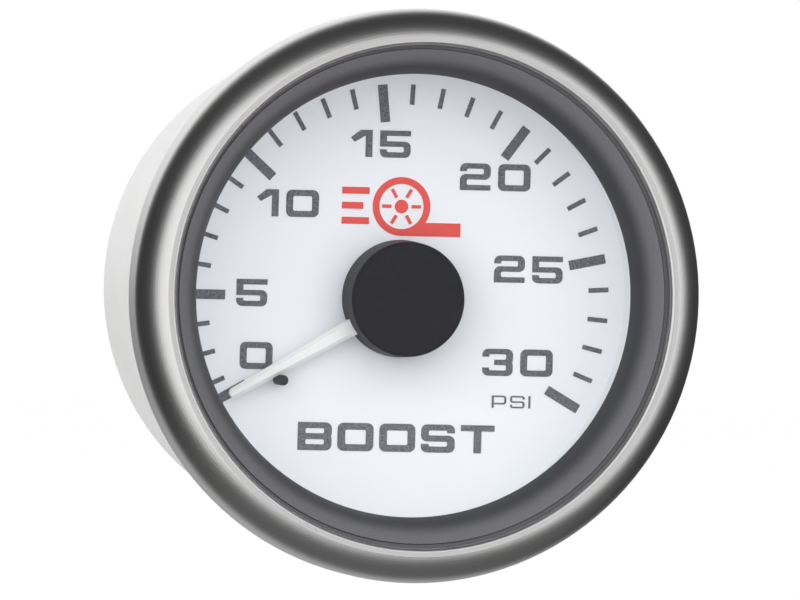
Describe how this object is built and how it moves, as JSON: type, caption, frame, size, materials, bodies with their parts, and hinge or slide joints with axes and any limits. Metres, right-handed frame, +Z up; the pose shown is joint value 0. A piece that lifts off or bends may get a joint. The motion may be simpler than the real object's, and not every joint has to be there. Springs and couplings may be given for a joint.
{
  "type": "boost gauge",
  "caption": "Round panel-mount pressure gauge with a white dial, swinging pointer, satin bezel and a Bourdon tube movement behind the dial.",
  "frame": {"origin": "on the case's axis, in the plane of the bezel's rear face, which seats on the panel", "axes": "+Y along the case axis, away from the viewer; the dial faces -Y; +Z is up on the dial and +X is to the viewer's right"},
  "size_m": [0.06, 0.0608, 0.06],
  "materials": {
    "case": "satin white",
    "bezel": "bead-blasted satin titanium grey",
    "black_trim": "satin",
    "rubber": "matte",
    "lens": "clear",
    "white_plastic": "matte",
    "dial_face": "matte white",
    "ink": "screen-printed grey",
    "red_ink": "screen-printed red",
    "hub_black": "fine-textured matte",
    "needle_white": "satin",
    "brass": "machined",
    "phosphor_bronze": "drawn",
    "steel": "turned",
    "spring_steel": "blued",
    "zinc": "zinc plated",
    "lamp_black": "moulded",
    "bulb_glass": "clear"
  },
  "bodies": {
    "case_body": {"case": "case", "bezel": "bezel", "trim_ring": "black_trim", "lens_gasket": "rubber", "lens": "lens", "spacer_ring": "white_plastic", "dial": "dial_face", "dial_marks": "ink", "dial_emblem": "red_ink", "stop_pin": "black_trim", "dial_carrier": "white_plastic", "hairspring": "spring_steel", "front_plate": "brass", "rear_plate": "brass", "plate_pillars": "brass", "plate_screws": "steel", "bourdon_tube": "phosphor_bronze", "socket": "brass", "socket_screws": "steel", "stem_gasket": "rubber", "stem_nut": "brass", "mounting_studs": "zinc", "stud_washers": "zinc", "stud_nuts": "zinc"},
    "pointer": {"pointer_hub": "hub_black", "pointer_needle": "needle_white", "pinion_arbor": "steel", "hairspring_collet": "brass"},
    "sector": {"sector_gear": "brass", "sector_arbor": "steel", "link_pin": "steel"},
    "link": {"drive_link": "steel"},
    "tip": {"tube_tip": "phosphor_bronze"},
    "lamp": {"lamp_holder": "lamp_black", "lamp_terminals": "zinc", "bulb": "bulb_glass"}
  },
  "joints": [
    {"name": "tip_travel", "type": "slide", "parent": "case_body", "child": "tip", "axis": [0.9063, 0, 0.4226], "range_m": [0, 0.00342], "stiffness_N_per_m": 150, "deforming": ["bourdon_tube"]},
    {"name": "pointer_turn", "type": "hinge", "parent": "case_body", "child": "pointer", "pos_m": [0, -0.003, -0.00045], "axis": [0, 1, 0], "range_deg": [0, 240], "stiffness_Nm_per_rad": 0.00002},
    {"name": "sector_turn", "type": "hinge", "parent": "case_body", "child": "sector", "pos_m": [0, 0.018, -0.01358], "axis": [0, 1, 0], "range_deg": [-40.01, 0]},
    {"name": "link_turn", "type": "hinge", "parent": "sector", "child": "link", "pos_m": [0.00044, 0.0193, -0.01856], "axis": [0, 1, 0], "range_deg": [0, 40.01]},
    {"name": "lamp_pull", "type": "slide", "parent": "case_body", "child": "lamp", "axis": [0, 1, 0], "range_m": [0, 0.02]}
  ],
  "couplings": [
    {"joint": "pointer_turn", "follows": "tip_travel", "rad_per_m": 1224.8},
    {"joint": "sector_turn", "follows": "tip_travel", "rad_per_m": -204.13},
    {"joint": "link_turn", "follows": "tip_travel", "rad_per_m": 204.13}
  ]
}
